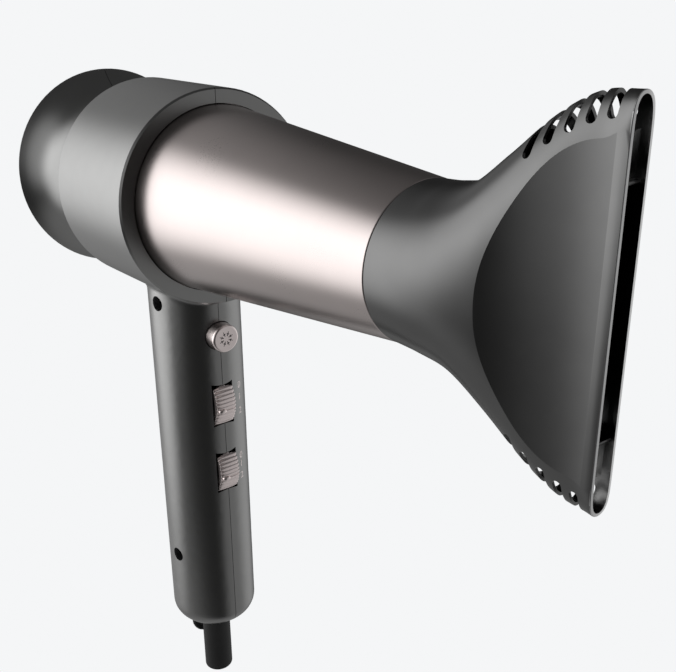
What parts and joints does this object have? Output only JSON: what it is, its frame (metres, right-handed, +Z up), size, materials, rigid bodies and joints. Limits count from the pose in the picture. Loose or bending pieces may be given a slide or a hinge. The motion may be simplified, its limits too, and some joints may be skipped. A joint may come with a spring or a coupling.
{
  "type": "hair dryer",
  "caption": "Hand-held hair dryer with a flared rear intake, tapered metallic barrel, round-edged handle with button and thumbwheels, and a tall vented slot nozzle.",
  "frame": {"origin": "middle of the grip, on the handle's centre line, 130 mm below the barrel's axis", "axes": "+Z up along the handle, +X the way the air blows, -Y the dryer's left side"},
  "size_m": [0.2864, 0.0906, 0.3011],
  "materials": {
    "graphite_shell": "satin graphite lacquer over moulded plastic",
    "champagne_metal": "satin champagne-rose metallic lacquer",
    "champagne_plastic": "satin champagne-rose metallised plastic",
    "nozzle_plastic": "dark grey heat-resistant plastic, fine moulded grain",
    "black_plastic": "black heat-resistant plastic",
    "black_rubber": "black flexible plastic",
    "inner_plastic": "dark glass-filled plastic",
    "fan_plastic": "off-white moulded plastic",
    "mica": "pressed mica board",
    "nichrome": "bare resistance wire",
    "steel": "bright steel",
    "bronze": "sintered bronze and copper",
    "magnet": "ferrite",
    "laminations": "stacked iron laminations",
    "carbon": "carbon graphite",
    "circuit_board": "solder-masked circuit board",
    "lead_sleeve": "glass-fibre lead sleeving"
  },
  "bodies": {
    "dryer_body": {"housing_left": "graphite_shell", "housing_right": "graphite_shell", "handle_screws": "steel", "barrel_sleeve": "champagne_metal", "heater_liner": "mica", "heater_boards": "mica", "heater_coils": "nichrome", "thermal_cutout": "steel", "thermal_fuse": "mica", "outlet_grille": "black_plastic", "fan_duct": "inner_plastic", "duct_damping_rings": "black_rubber", "motor_can": "steel", "motor_end_cap": "inner_plastic", "motor_bushings": "bronze", "motor_magnets": "magnet", "carbon_brushes": "carbon", "button_spring": "steel", "switch_bracket": "inner_plastic", "thumbwheel_axles": "steel", "speed_switch": "black_plastic", "heat_switch": "black_plastic", "cool_shot_switch": "black_plastic", "control_board": "circuit_board", "interference_capacitor": "fan_plastic", "rectifier_diodes": "black_plastic", "terminal_block": "fan_plastic", "ion_module": "black_plastic", "ion_emitter": "steel", "motor_leads": "lead_sleeve", "heater_leads": "lead_sleeve", "strain_relief": "black_rubber", "cord_clamp": "inner_plastic", "clamp_screws": "steel", "hanging_loop": "black_rubber"},
    "rotor": {"motor_shaft": "steel", "armature": "laminations", "commutator": "bronze", "fan_impeller": "fan_plastic"},
    "cool_shot": {"cool_shot_button": "champagne_plastic"},
    "speed_wheel": {"speed_thumbwheel": "champagne_plastic"},
    "heat_wheel": {"heat_thumbwheel": "champagne_plastic"},
    "rear_cover": {"rear_grille": "graphite_shell", "filter_mesh": "steel"},
    "nozzle_clip": {"nozzle_clip_ring": "black_plastic"},
    "nozzle": {"nozzle_shell": "nozzle_plastic"}
  },
  "joints": [
    {"name": "fan_spin", "type": "hinge", "parent": "dryer_body", "child": "rotor", "pos_m": [0, 0, 0.13], "axis": [1, 0, 0], "continuous": true},
    {"name": "cool_shot_press", "type": "slide", "parent": "dryer_body", "child": "cool_shot", "axis": [-1, 0, 0], "range_m": [0, 0.0025], "stiffness_N_per_m": 500, "springref_m": -0.002, "deforming": ["button_spring"]},
    {"name": "speed_select", "type": "hinge", "parent": "dryer_body", "child": "speed_wheel", "pos_m": [0.00905, 0, 0.038], "axis": [0, 1, 0], "range_deg": [-22.5, 22.5]},
    {"name": "heat_select", "type": "hinge", "parent": "dryer_body", "child": "heat_wheel", "pos_m": [0.00905, 0, 0.0048], "axis": [0, 1, 0], "range_deg": [-22.5, 22.5]},
    {"name": "rear_cover_pull", "type": "slide", "parent": "dryer_body", "child": "rear_cover", "axis": [-1, 0, 0], "range_m": [0, 0.02]},
    {"name": "nozzle_pull", "type": "slide", "parent": "dryer_body", "child": "nozzle_clip", "axis": [1, 0, 0], "range_m": [0, 0.03]},
    {"name": "nozzle_turn", "type": "hinge", "parent": "nozzle_clip", "child": "nozzle", "pos_m": [0.1485, 0, 0.13], "axis": [1, 0, 0], "continuous": true}
  ]
}
